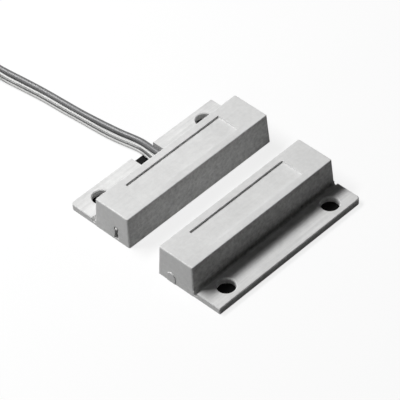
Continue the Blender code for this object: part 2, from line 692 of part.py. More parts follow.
def tie_mesh(name):
    """The narrow band round the coil's turns: a thin strip carried round a rounded box outline."""
    curve_room = (TIE_WIDTH / 2) ** 2 / (2 * coil_inner_radius())
    near = coil_inner_radius() - SEAT_GAP - curve_room
    far = coil_outer_radius() + SEAT_GAP
    top = coil_foot() + LEAD_DIAMETER + (COIL_LAYERS - 1) * COIL_PITCH + SEAT_GAP
    edge = LEAD_DIAMETER / 3
    inside = rounded_outline((near, far), (TIE_THICKNESS, top), [edge] * 4, 0.0)
    grown = edge + TIE_THICKNESS
    x_range = (near - TIE_THICKNESS, far + TIE_THICKNESS)
    outside = rounded_outline(x_range, (0.0, top + TIE_THICKNESS), [grown] * 4, 0.0)
    half = TIE_WIDTH / 2
    rings = []
    for a, b in zip(inside, outside, strict=True):
        rings.append([Vector((a.x, -half, a.y)), Vector((b.x, -half, b.y)),
                      Vector((b.x, half, b.y)), Vector((a.x, half, a.y))])
    mesh = loft(name, rings, 40, closed=True)
    place = Matrix.Translation((COIL_CENTRE_X, COIL_CENTRE_Y, 0)) @ Matrix.Rotation(TIE_AZIMUTH, 4, "Z")
    mesh.transform(place)
    return mesh


def tail_mesh(name, track, places):
    """A straight round piece of a lead's end, given as (distance past the coil's middle, height, radius).

    Track counts from the coil's rim. The lead leaves the upper turns along -X on the coil's far side.
    """
    across = coil_outer_radius() - LEAD_DIAMETER / 2 - track * COIL_PITCH
    rings = []
    for x, z, radius in places:
        turns = [2 * math.pi * k / TAIL_STEPS for k in range(TAIL_STEPS)]
        rings.append([Vector((COIL_CENTRE_X - x, COIL_CENTRE_Y + across + radius * math.cos(a),
                              z + radius * math.sin(a))) for a in turns])
    return loft(name, rings, 40)


def lead_end_mesh(name, track):
    """The insulation past the coil, which comes down from the upper turns to the table."""
    near_side = coil_outer_radius() - LEAD_DIAMETER - track * COIL_PITCH
    begin = math.sqrt((coil_outer_radius() + SEAT_GAP)**2 - near_side**2)
    foot = LEAD_DIAMETER / 2
    high = coil_foot() + foot + COIL_PITCH
    places = []
    for x in np.linspace(begin, LEAD_TAIL_LENGTH, 6):
        share = min(1.0, (x - begin) / (TAIL_FALL * (LEAD_TAIL_LENGTH - begin)))
        places.append((x, foot + (high - foot) * (1 - share * share * (3 - 2 * share)), foot))
    return tail_mesh(name, track, places)


def lead_tip_mesh(name, track):
    """The stripped and tinned end of the core."""
    radius = LEAD_CORE_DIAMETER / 2
    begin = LEAD_TAIL_LENGTH + SEAT_GAP
    end = begin + LEAD_TIP_LENGTH
    foot = LEAD_DIAMETER / 2
    places = [(begin, foot, radius), (end - radius, foot, radius), (end, foot, radius / 2)]
    return tail_mesh(name, track, places)


def free_leads(parts, unit):
    """The two leads from inside the housing to the coil, the coil, its tie and the leads' free ends."""
    for side, colour, route, track in ((-1, "light", LIGHT_ROUTE, 0), (1, "dark", DARK_ROUTE, 1)):
        outside = [Vector(point) * MM for point in route]
        points = smooth_route(inner_route(side) + outside, 2 * LEAD_DIAMETER)
        name = f"{colour}_lead"
        add_object(name, tube_curve(name, points, LEAD_DIAMETER), parts[name], unit)
        add_object(f"{name}_end", lead_end_mesh(f"{name}_end", track), parts[name], unit)
        add_object(f"{name}_tip", lead_tip_mesh(f"{name}_tip", track), parts["core"], unit)
    add_object("lead_coil", coil_mesh("lead_coil"), parts["dark_lead"], unit)
    add_object("coil_tie", tie_mesh("coil_tie"), parts["tie"], unit)


def magnet_inside(parts, parent):
    """The bar magnet under the roof, and the resin below and round it."""
    low = roof_height() - SEAT_GAP - MAGNET_HEIGHT
    start = WALL + CAVITY_DRAFT + SEAT_GAP
    rings = []
    high = low + MAGNET_HEIGHT
    for z, inset in ((low, MAGNET_EDGE_BREAK), (low + MAGNET_EDGE_BREAK, 0.0),
                     (high - MAGNET_EDGE_BREAK, 0.0), (high, MAGNET_EDGE_BREAK)):
        half = MAGNET_LENGTH / 2 - inset
        y_range = (start + inset, start + MAGNET_WIDTH - inset)
        rings.append(rounded_outline((-half, half), y_range, [MAGNET_EDGE_BREAK] * 4, z))
    add_object("bar_magnet", loft("bar_magnet", rings, 40), parts["magnet"], parent)
    top = roof_height() - SEAT_GAP
    resin = loft("magnet_potting", cavity_rings(SEAT_GAP, POTTING_BELOW_RIM, top))
    potting = add_object("magnet_potting", resin, parts["potting"], parent)
    half = MAGNET_LENGTH / 2 + SEAT_GAP
    room = box_mesh("magnet_room", (-half, half), (0.0, start + MAGNET_WIDTH + SEAT_GAP),
                    (low - SEAT_GAP, HOUSING_HEIGHT))
    shape(potting, room, "DIFFERENCE")
    for side in (-1, 1):
        shape(potting, stop_rib_mesh("stop_room", side, SEAT_GAP), "DIFFERENCE")


def magnet_housing(finish, parent):
    """The magnet unit's moulding, with a rib past each end of the magnet."""
    housing = moulded_housing("magnet_housing", finish, parent)
    for side in (-1, 1):
        shape(housing, stop_rib_mesh("stop_rib", side), "UNION")
    return housing


def clear_scene():
    """Remove what the scene holds."""
    for old in list(bpy.data.objects):
        bpy.data.objects.remove(old, do_unlink=True)


def unit_frame(name, place, turn):
    """An empty that puts a unit's own frame in its place."""
    frame = add_object(name, None)
    frame.location = place
    frame.rotation_euler = (0, 0, turn)
    return frame


def build():
    """Both units in their places."""
    clear_scene()
    parts = {
        "housing": material("grey_moulding", (0.70, 0.70, 0.695), 0.45),
        "potting": material("dark_resin", (0.02, 0.02, 0.022), 0.35),
        "glass": material("reed_glass_green", (0.55, 0.68, 0.6), 0.08, 0.0, 0.45),
        "reed": material("tinned_reed_wire", (0.72, 0.72, 0.7), 0.25, 1.0),
        "solder": material("solder", (0.62, 0.63, 0.65), 0.3, 1.0),
        "core": material("tinned_core", (0.7, 0.69, 0.66), 0.3, 1.0),
        "light_lead": material("light_insulation", (0.5, 0.5, 0.49), 0.4),
        "dark_lead": material("dark_insulation", (0.06, 0.06, 0.06), 0.4),
        "tie": material("clear_band", (0.8, 0.8, 0.78), 0.3),
        "magnet": material("magnet_alloy", (0.32, 0.32, 0.33), 0.4, 1.0),
    }
    switch_unit = unit_frame("switch_unit", (SIDE_STEP / 2, FACING_GAP / 2, 0), 0.0)
    magnet_unit = unit_frame("magnet_unit", (-SIDE_STEP / 2, -FACING_GAP / 2, 0), math.pi)
    switch_housing(parts["housing"], switch_unit)
    switch_inside(parts, switch_unit)
    switch_potting(parts["potting"], switch_unit)
    free_leads(parts, switch_unit)
    magnet_housing(parts["housing"], magnet_unit)
    magnet_inside(parts, magnet_unit)


build()
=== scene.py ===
"""Looks of the surface magnetic door contact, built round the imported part.

Sizes are in metres. The switch unit and the magnet unit are one moulding, laid with their plain
sides facing. X runs along both, Y from the magnet unit to the switch unit, and Z up.
"""

import json
import math

import bpy
import numpy as np
from mathutils import Matrix, Vector

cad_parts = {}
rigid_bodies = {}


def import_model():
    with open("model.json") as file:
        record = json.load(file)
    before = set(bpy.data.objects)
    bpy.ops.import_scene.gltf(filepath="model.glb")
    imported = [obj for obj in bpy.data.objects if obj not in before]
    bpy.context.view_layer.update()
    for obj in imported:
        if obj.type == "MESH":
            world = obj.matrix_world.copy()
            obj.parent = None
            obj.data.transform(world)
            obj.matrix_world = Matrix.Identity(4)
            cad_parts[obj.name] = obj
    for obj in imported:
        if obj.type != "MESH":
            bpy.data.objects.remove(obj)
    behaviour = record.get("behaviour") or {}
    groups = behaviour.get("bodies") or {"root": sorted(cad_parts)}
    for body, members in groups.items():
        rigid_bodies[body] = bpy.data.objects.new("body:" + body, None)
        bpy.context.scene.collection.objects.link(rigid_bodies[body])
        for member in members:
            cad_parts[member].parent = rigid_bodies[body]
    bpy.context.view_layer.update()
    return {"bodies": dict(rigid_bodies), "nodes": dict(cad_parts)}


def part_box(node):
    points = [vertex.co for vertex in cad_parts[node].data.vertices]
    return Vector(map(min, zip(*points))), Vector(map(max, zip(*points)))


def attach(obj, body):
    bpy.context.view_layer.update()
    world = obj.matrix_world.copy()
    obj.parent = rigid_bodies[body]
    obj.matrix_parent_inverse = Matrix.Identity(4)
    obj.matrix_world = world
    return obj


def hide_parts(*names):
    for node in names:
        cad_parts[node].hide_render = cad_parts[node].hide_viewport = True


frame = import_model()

# The view: a long lens over the table, turned to the left of the pair and looking down at about 45
# degrees. The angles are those at which the housings' edges fall as they do in the picture.
LENS_MM = 255.38
SENSOR_MM = 36.0
VIEW_TURN = math.radians(-43.309)
VIEW_RISE = math.radians(45.226)
VIEW_ROLL = math.radians(-3.598)
VIEW_DISTANCE = 0.670979
VIEW_TARGET = Vector((-0.001128, 0.004034, 0.0))
FARTHEST_SEEN = 20.0


def view_matrix():
    """Back points from the target to the camera, right lies level, and the roll turns right and up
    about back."""
    level = math.cos(VIEW_RISE)
    back = Vector((math.sin(VIEW_TURN) * level, -math.cos(VIEW_TURN) * level, math.sin(VIEW_RISE)))
    right = Vector((math.cos(VIEW_TURN), math.sin(VIEW_TURN), 0.0))
    up = back.cross(right)
    rolled_right = right * math.cos(VIEW_ROLL) + up * math.sin(VIEW_ROLL)
    rolled_up = up * math.cos(VIEW_ROLL) - right * math.sin(VIEW_ROLL)
    matrix = Matrix((rolled_right, rolled_up, back)).transposed().to_4x4()
    matrix.translation = VIEW_TARGET + back * VIEW_DISTANCE
    return matrix


camera_data = bpy.data.cameras.new("view")
camera_data.lens = LENS_MM
camera_data.sensor_width = SENSOR_MM
camera_data.clip_end = FARTHEST_SEEN
camera = bpy.data.objects.new("view", camera_data)
bpy.context.scene.collection.objects.link(camera)
camera.matrix_world = view_matrix()
bpy.context.scene.camera = camera

# The two leads: stranded tinned copper in 1.7 mm of smooth insulation, one light with a dark band
# along it, one dark with a lighter band along its upper side, which is a painted highlight. They
# run loose along the table to a flat coil of two layers, where they swap places half way, so that
# they stay equally long.
LEAD_DIAMETER = 0.0017

# The routes, the wall's outer face where the leads leave it, and the coil are measured from the
# middle of the switch unit's plain side. A route runs from the solder joint through the wall to the
# coil.
SWITCH_PLACE = np.array((0.0005, 0.00517, 0.0))
LIGHT_ROUTE = np.array((
    (-0.0085, 0.00665, 0.002575), (-0.006425, 0.00665, 0.002163), (-0.00435, 0.00665, 0.00175),
    (-0.002575, 0.007126, 0.00175), (-0.001276, 0.008425, 0.00175), (-0.0008, 0.0102, 0.00175),
    (-0.0008, 0.0115, 0.00175), (-0.0007, 0.0132, 0.0017), (-0.00025, 0.0155, 0.0015),
    (0.00025, 0.0184, 0.00125), (0.00045, 0.0209, 0.001), (0.0001, 0.0235, 0.00088),
    (-0.0005, 0.0265, 0.00085), (-0.00105, 0.03, 0.00085), (-0.0014, 0.034, 0.00085),
    (-0.00175, 0.039, 0.00085), (-0.0022, 0.045, 0.00085), (-0.0026, 0.0515, 0.00085),
    (-0.00335, 0.058, 0.00087), (-0.00395, 0.0626, 0.00095), (-0.00425, 0.0669, 0.0011),
))
DARK_ROUTE = np.array((
    (0.0085, 0.00665, 0.002575), (0.006825, 0.00665, 0.002163), (0.00515, 0.00665, 0.00175),
    (0.003375, 0.007126, 0.00175), (0.002076, 0.008425, 0.00175), (0.0016, 0.0102, 0.00175),
    (0.0016, 0.0115, 0.00175), (0.00175, 0.0132, 0.0017), (0.002, 0.0155, 0.0015),
    (0.00225, 0.0185, 0.0013), (0.00245, 0.0208, 0.00108), (0.00245, 0.023, 0.00095),
    (0.002, 0.0259, 0.00087), (0.0014, 0.029, 0.00085), (0.00065, 0.0345, 0.00085),
    (0.0, 0.0405, 0.00085), (-0.0004, 0.0465, 0.00085), (-0.0008, 0.053, 0.00085),
    (-0.00145, 0.0595, 0.00087), (-0.0021, 0.0645, 0.00095), (-0.00255, 0.0692, 0.0011),
))

# The coil has two layers of four tracks, counted from the outermost, and stands on the band's lower
# run. A shift is the degrees between which a lead changes its track, and by how many tracks. The
# climb is the degrees between which it rises to the upper layer.
COIL_CENTRE = np.array((-0.0145, 0.076))
COIL_MIDDLE_DIAMETER = 0.0185
COIL_TRACKS = 4
COIL_PITCH = 0.00176
COIL_STAND = 0.0005
WOUND_DEGREES = 1170.0
DEGREE_STEP = 5.0
LIGHT_SHIFTS = ((258, 318, -2), (550, 598, 1), (815, 881, 2))
LIGHT_CLIMB = (518, 566)
DARK_SHIFTS = ((274, 334, -2), (570, 618, -1), (825, 885, 2))
DARK_CLIMB = (600, 648)
TAIL_LENGTH = 0.020
TAIL_FALL_SHARE = 0.7
RIM_CLEARANCE = 0.0003

# A lead's mesh has a ring of points every 0.6 mm, and its cut ends are a little narrower.
TUBE_STEP = 0.0006
TUBE_SIDES = 24
CUT_END_SHARE = 0.86


def smoothstep(value):
    """0 below 0 and 1 above 1, with the S-shaped cubic 3v^2 - 2v^3 between."""
    held = np.clip(value, 0.0, 1.0)
    return held * held * (3.0 - 2.0 * held)


def catmull_rom(points, per_span=24):
    """Each span's cubic passes its two points, heading at each along the line between that point's
    neighbours."""
    ends = np.vstack((2 * points[0] - points[1], points, 2 * points[-1] - points[-2]))
    a, b, c, d = (ends[i:len(ends) - 3 + i, None, :] for i in range(4))
    t = np.linspace(0.0, 1.0, per_span, endpoint=False)[None, :, None]
    spans = b + 0.5 * t * (c - a + t * (2 * a - 5 * b + 4 * c - d + t * (3 * (b - c) + d - a)))
    return np.vstack((spans.reshape(-1, points.shape[1]), points[-1:]))


def evenly(points, step):
    """The same line, its points a step apart by length along it."""
    along = np.concatenate(([0.0], np.cumsum(np.linalg.norm(np.diff(points, axis=0), axis=1))))
    at = np.linspace(0.0, along[-1], round(along[-1] / step) + 1)
    return np.stack([np.interp(at, along, points[:, k]) for k in range(3)], axis=1)


def wound(first_track, shifts, climb):
    """The turns: a circle whose radius and height change with its angle.

    The radius is the first track's plus, for each shift, its tracks times a smoothstep between its
    two angles. The height is the lower layer's plus one pitch times a smoothstep between the
    climb's angles.
    """
    angle = np.arange(0.0, WOUND_DEGREES + DEGREE_STEP / 2, DEGREE_STEP)
    outermost = COIL_MIDDLE_DIAMETER / 2 + (COIL_TRACKS - 1) / 2 * COIL_PITCH
    radius = outermost - first_track * COIL_PITCH
    for start, end, tracks in shifts:
        radius = radius + tracks * COIL_PITCH * smoothstep((angle - start) / (end - start))
    start, end = climb
    risen = COIL_PITCH * smoothstep((angle - start) / (end - start))
    turn = np.radians(angle)
    x = COIL_CENTRE[0] + radius * np.cos(turn)
    y = COIL_CENTRE[1] + radius * np.sin(turn)
    return np.stack((x, y, COIL_STAND + LEAD_DIAMETER / 2 + risen), axis=1)


def tail(last, track):
    """Straight on along -X, and down to the table by a smoothstep once the lead has left the coil.

    The lead's inner side passes the coil's rim at the square root of rim^2 - near^2 from the last
    turn's end, where near is how far from the coil's centre that side runs.
    """
    edge = COIL_MIDDLE_DIAMETER / 2 + COIL_TRACKS / 2 * COIL_PITCH
    rim = edge + RIM_CLEARANCE
    near = edge - LEAD_DIAMETER - track * COIL_PITCH
    begin = math.sqrt(rim**2 - near**2)
    run = np.arange(TUBE_STEP, TAIL_LENGTH + TUBE_STEP / 2, TUBE_STEP)
    run[-1] = TAIL_LENGTH
    drop = smoothstep((run - begin) / (TAIL_FALL_SHARE * (TAIL_LENGTH - begin)))
    height = last[2] + (LEAD_DIAMETER / 2 - last[2]) * drop
    return np.stack((last[0] - run, np.full_like(run, last[1]), height), axis=1)


def lead_line(route, first_track, last_track, shifts, climb):
    """The centre line of a lead: its route, then its turns in the coil, then its straight tail."""
    turns = wound(first_track, shifts, climb)
    laid = catmull_rom(np.vstack((route, turns[:1])))
    whole = np.vstack((laid[:-1], turns, tail(turns[-1], last_track)))
    return evenly(whole, TUBE_STEP) + SWITCH_PLACE


def tube_rings(line, radii, sides, twist=0.0):
    """Rings of points square to a line: centre + radius x (cosine x side + sine x up).

    Side is level and square to the line's heading, up is square to both. Each ring has one radius
    or, in a (rings, sides) table, one for each point. The twist turns the rings on by that angle
    for each metre of the line.
    """
    heading = np.gradient(line, axis=0)
    heading /= np.linalg.norm(heading, axis=1)[:, None]
    side = np.cross(heading, (0.0, 0.0, 1.0))
    side /= np.linalg.norm(side, axis=1)[:, None]
    up = np.cross(side, heading)
    along = np.concatenate(([0.0], np.cumsum(np.linalg.norm(np.diff(line, axis=0), axis=1))))
    turn = np.linspace(0.0, 2 * math.pi, sides, endpoint=False)[None, :] + twist * along[:, None]
    radii = np.broadcast_to(np.asarray(radii).reshape(len(line), -1), (len(line), sides))
    return (line[:, None, :] + radii[..., None] * (np.cos(turn)[..., None] * side[:, None, :]
                                                   + np.sin(turn)[..., None] * up[:, None, :]))


def tube_mesh(name, rings):
    """A closed mesh of (rings, sides, 3) points.

    A face joins each two neighbours on a ring to those on the next, and a fan of triangles round
    its middle closes each end ring.
    """
    count, sides = rings.shape[:2]
    index = np.arange(count * sides).reshape(count, sides)
    ahead = np.roll(index, -1, axis=1)
    wall = np.stack((index[:-1], ahead[:-1], ahead[1:], index[1:]), axis=-1).reshape(-1, 4)
    first_hub = np.full(sides, count * sides)
    first_fan = np.stack((ahead[0], index[0], first_hub), axis=1)
    last_fan = np.stack((index[-1], ahead[-1], first_hub + 1), axis=1)
    points = np.vstack((rings.reshape(-1, 3), rings[0].mean(axis=0), rings[-1].mean(axis=0)))
    mesh = bpy.data.meshes.new(name)
    mesh.from_pydata(points.tolist(), [], wall.tolist() + first_fan.tolist() + last_fan.tolist())
    mesh.shade_smooth()
    mesh.update()
    return mesh


def round_uv(mesh, sides, along):
    """U runs round the tube from 0 to 1, V along it in metres. The last column's faces end at 1."""
    layer = mesh.uv_layers.new(name="lead")
    corner = np.empty(len(mesh.loops), dtype=np.int64)
    mesh.loops.foreach_get("vertex_index", corner)
    held = np.minimum(corner, len(along) * sides - 1)
    u = (held % sides) / sides
    starts = np.empty(len(mesh.polygons), dtype=np.int64)
    sizes = np.empty(len(mesh.polygons), dtype=np.int64)
    mesh.polygons.foreach_get("loop_start", starts)
    mesh.polygons.foreach_get("loop_total", sizes)
    high = np.maximum.reduceat(u, starts)
    low = np.minimum.reduceat(u, starts)
    crosses = np.repeat((high - low) > 0.5, sizes)
    u = np.where(crosses & (u < 0.5), u + 1.0, u)
    v = np.asarray(along)[held // sides]
    layer.data.foreach_set("uv", np.stack((u, v), axis=1).ravel().astype(np.float32))


def add_piece(name, mesh, body, finish):
    """Links a finished mesh as a piece that rides on a body, with the finish it is given."""
    piece = bpy.data.objects.new(name, mesh)
    bpy.context.scene.collection.objects.link(piece)
    mesh.materials.append(finish)
    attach(piece, body)
    return piece


def node_maker(tree):
    """Returns add(kind, inputs), which makes a node, sets its named inputs and links those that are
    another node's output."""

    def add(kind, inputs=None, **settings):
        node = tree.nodes.new(kind)
        for key, value in settings.items():
            setattr(node, key, value)
        for key, value in (inputs or {}).items():
            if isinstance(value, bpy.types.NodeSocket):
                tree.links.new(value, node.inputs[key])
            else:
                node.inputs[key].default_value = value
        return node

    return add


def new_material(name, colour, **constants):
    """A Principled material with its constants on the shader's own sockets.

    Returns it with add, for its other nodes, and feed, which links their outputs to the shader.
    """
    made = bpy.data.materials.new(name)
    made.use_nodes = True
    made.diffuse_color = (*colour, 1.0)
    shader = made.node_tree.nodes["Principled BSDF"]
    shader.inputs["Base Color"].default_value = (*colour, 1.0)
    for label, value in constants.items():
        shader.inputs[label.replace("_", " ")].default_value = value

    def feed(**sources):
        for label, source in sources.items():
            made.node_tree.links.new(source, shader.inputs[label.replace("_", " ")])

    return made, node_maker(made.node_tree), feed


# Noise lies mostly between two values, from which it is spread. A band's edges fade over a share of
# the way round, and it wanders by another.
NOISE_SPAN = (0.3, 0.7)
BAND_FADE = 0.035
BAND_WANDER = 0.05
WANDERS_PER_METRE = 140.0
SMEAR_SCALE = (9.0, 120.0, 1.0)


def ramp(add, value, span, onto, kind="LINEAR"):
    """Carries a value from one span onto another and holds it at both ends."""
    node = add("ShaderNodeMapRange", {"Value": value, "From Min": span[0], "From Max": span[1],
                                      "To Min": onto[0], "To Max": onto[1]},
               interpolation_type=kind)
    return node.outputs["Result"]


def times_plus(add, value, factor, plus):
    """Value times factor, plus another value."""
    node = add("ShaderNodeMath", {0: value, 1: factor, 2: plus}, operation="MULTIPLY_ADD")
    return node.outputs[0]


def toned(add, colour, shade):
    """A colour made lighter or darker by a factor."""
    node = add("ShaderNodeVectorMath", {0: colour, "Scale": shade}, operation="SCALE")
    return node.outputs["Vector"]


def relief(add, height, strength, distance, **under):
    """A bump from a height of 0 to 1 that stands for a distance, over another normal if given."""
    node = add("ShaderNodeBump", {"Height": height, "Strength": strength, "Distance": distance,
                                  **under})
    return node.outputs["Normal"]


def insulation(name, ground, band_tone, band_start, band_end, seed):
    """Smooth insulation with a band of another tone along it and faint smears from drawing.

    The band lies between two shares of the way round, fades in and out over a smoothstep, and
    wanders a little by noise. The smears are noise that is long along the lead and short round it:
    they shade the colour, change the gloss and ripple the face.
    """
    made, add, feed = new_material(name, ground)
    uv = add("ShaderNodeUVMap", uv_map="lead").outputs["UV"]
    way_round = add("ShaderNodeSeparateXYZ", {"Vector": uv}).outputs["X"]
    wander = add("ShaderNodeTexNoise", {"Vector": uv, "Scale": WANDERS_PER_METRE, "Detail": 1.0,
                                        "W": seed}, noise_dimensions="4D").outputs["Fac"]
    place = times_plus(add, wander, BAND_WANDER, way_round)
    start = ramp(add, place, (band_start, band_start + BAND_FADE), (0.0, 1.0), "SMOOTHSTEP")
    stop = ramp(add, place, (band_end, band_end + BAND_FADE), (1.0, 0.0), "SMOOTHSTEP")
    band = add("ShaderNodeMath", {0: start, 1: stop}, operation="MULTIPLY").outputs[0]
    striped = add("ShaderNodeMix", {"Factor": band, "A": (*ground, 1.0), "B": (*band_tone, 1.0)},
                  data_type="RGBA").outputs["Result"]
    stretched = add("ShaderNodeMapping", {"Vector": uv, "Scale": SMEAR_SCALE}).outputs["Vector"]
    smear = add("ShaderNodeTexNoise", {"Vector": stretched, "Scale": 1.0, "Detail": 5.0,
                                       "Roughness": 0.65, "W": seed},
                noise_dimensions="4D").outputs["Fac"]
    feed(Base_Color=toned(add, striped, ramp(add, smear, NOISE_SPAN, (0.93, 1.07))),
         Roughness=ramp(add, smear, NOISE_SPAN, (0.3, 0.48)),
         Normal=relief(add, smear, strength=0.1, distance=0.00004))
    return made


def lead_piece(name, line, finish, stands_for):
    """One lead as a tube mesh, its end rings drawn in a little where the insulation is cut."""
    radii = np.full(len(line), LEAD_DIAMETER / 2)
    radii[[0, -1]] *= CUT_END_SHARE
    mesh = tube_mesh(name, tube_rings(line, radii, TUBE_SIDES))
    round_uv(mesh, TUBE_SIDES, np.arange(len(line)) * TUBE_STEP)
    piece = add_piece(name, mesh, "switch_unit", finish)
    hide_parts(*stands_for)
    return piece


light_finish = insulation("light_insulation", ground=(0.78, 0.78, 0.77), band_tone=(0.06, 0.06, 0.06),
                          band_start=0.275, band_end=0.41, seed=1.7)
# The dark lead's lighter band along its upper side is a painted highlight.
dark_finish = insulation("dark_insulation", ground=(0.14, 0.14, 0.143), band_tone=(0.2, 0.2, 0.2),
                         band_start=0.1, band_end=0.2, seed=5.2)
light_line = lead_line(LIGHT_ROUTE, first_track=1, last_track=0, shifts=LIGHT_SHIFTS,
                       climb=LIGHT_CLIMB)
dark_line = lead_line(DARK_ROUTE, first_track=0, last_track=1, shifts=DARK_SHIFTS,
                      climb=DARK_CLIMB)
light_run = lead_piece("light_lead_run", light_line, light_finish,
                       ("light_lead", "light_lead_end", "lead_coil"))
dark_run = lead_piece("dark_lead_run", dark_line, dark_finish,
                      ("dark_lead", "dark_lead_end", "lead_coil"))

# The band that holds the coil: a strip of thin clear plastic film, wrapped once round all the
# turns and stuck to itself. It creases where it is pulled tight.
FILM_CLEAR = (0.78, 0.79, 0.78)


def dress(node, finish):
    """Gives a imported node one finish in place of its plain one."""
    mesh = frame["nodes"][node].data
    mesh.materials.clear()
    mesh.materials.append(finish)


def clear_film():
    """Clear film whose creases are a wave bent by noise, in relief alone."""
    made, add, feed = new_material("clear_band", FILM_CLEAR, Roughness=0.22,
                                   Transmission_Weight=0.45, IOR=1.48)
    place = add("ShaderNodeTexCoord").outputs["Object"]
    creases = add("ShaderNodeTexWave", {"Vector": place, "Scale": 900.0, "Distortion": 3.0,
                                        "Detail": 2.0}).outputs["Fac"]
    feed(Normal=relief(add, creases, strength=0.3, distance=0.00003))
    return made


dress("coil_tie", clear_film())

# The two housings: one moulding in light grey ABS, drawn straight up out of a fine spark-eroded
# mould. The flanges and tops are rubbed along their length, and the mould's grain shows as a faint
# mottle on the upright sides.
GREY_MOULDING = (0.70, 0.70, 0.695)
FLANGE_TOP = 0.0018
FAINT_STREAKS_FROM = 0.006
STREAK_SCALE = (60.0, 1500.0, 1500.0)
EDGE_WIDTH = 0.00035
EDGE_BREAKS = 900.0


def new_group(name, inputs, outputs):
    """A shader node group with its named inputs and outputs. Returns it with its two end nodes and
    add."""
    group = bpy.data.node_groups.new(name, "ShaderNodeTree")
    for label, kind, value in inputs:
        socket = group.interface.new_socket(label, in_out="INPUT", socket_type=kind)
        socket.default_value = value
    for label in outputs:
        group.interface.new_socket(label, in_out="OUTPUT", socket_type="NodeSocketFloat")
    add = node_maker(group)
    return group, add("NodeGroupInput").outputs, add("NodeGroupOutput").inputs, add


def blotch_group():
    """Two noises, broad patches and fine grain, both about 0.5, and the two mixed by a share."""
    group, given, out, add = new_group(
        "blotch",
        (("Vector", "NodeSocketVector", (0, 0, 0)), ("Patch", "NodeSocketFloat", 300.0),
         ("Grain", "NodeSocketFloat", 3000.0), ("Grain Share", "NodeSocketFloat", 0.4)),
        ("Value", "Patch Value", "Grain Value"))
    patch = add("ShaderNodeTexNoise", {"Vector": given["Vector"], "Scale": given["Patch"],
                                       "Detail": 4.0, "Roughness": 0.6}).outputs["Fac"]
    grain = add("ShaderNodeTexNoise", {"Vector": given["Vector"], "Scale": given["Grain"],
                                       "Detail": 3.0, "Roughness": 0.7}).outputs["Fac"]
    both = add("ShaderNodeMix", {"Factor": given["Grain Share"], "A": patch, "B": grain})
    group.links.new(both.outputs["Result"], out["Value"])
    group.links.new(patch, out["Patch Value"])
    group.links.new(grain, out["Grain Value"])
    return group


def edge_rub_and_highlight_group():
    """A mask of the edges, for rubbing and for a painted highlight along them: how far the normal,
    rounded over a width, turns from the true one. It begins at 8 degrees, is full at 31, and is
    broken up by noise."""
    group, given, out, add = new_group(
        "edge_rub_and_highlight",
        (("Vector", "NodeSocketVector", (0, 0, 0)), ("Width", "NodeSocketFloat", 0.0003),
         ("Breaks", "NodeSocketFloat", 900.0)),
        ("Mask",))
    true_one = add("ShaderNodeNewGeometry").outputs["Normal"]
    rounded = add("ShaderNodeBevel", {"Radius": given["Width"]}, samples=6).outputs["Normal"]
    turn = add("ShaderNodeVectorMath", {0: rounded, 1: true_one}, operation="DOT_PRODUCT")
    edge_turn_mask = ramp(add, turn.outputs["Value"], (0.99, 0.86), (0.0, 1.0))
    breaks = add("ShaderNodeTexNoise", {"Vector": given["Vector"], "Scale": given["Breaks"],
                                        "Detail": 3.0}).outputs["Fac"]
    held = ramp(add, breaks, (0.35, 0.6), (0.35, 1.0))
    both = add("ShaderNodeMath", {0: edge_turn_mask, 1: held}, operation="MULTIPLY")
    group.links.new(both.outputs[0], out["Mask"])
    return group


BLOTCH = blotch_group()
EDGE_RUB_AND_HIGHLIGHT = edge_rub_and_highlight_group()


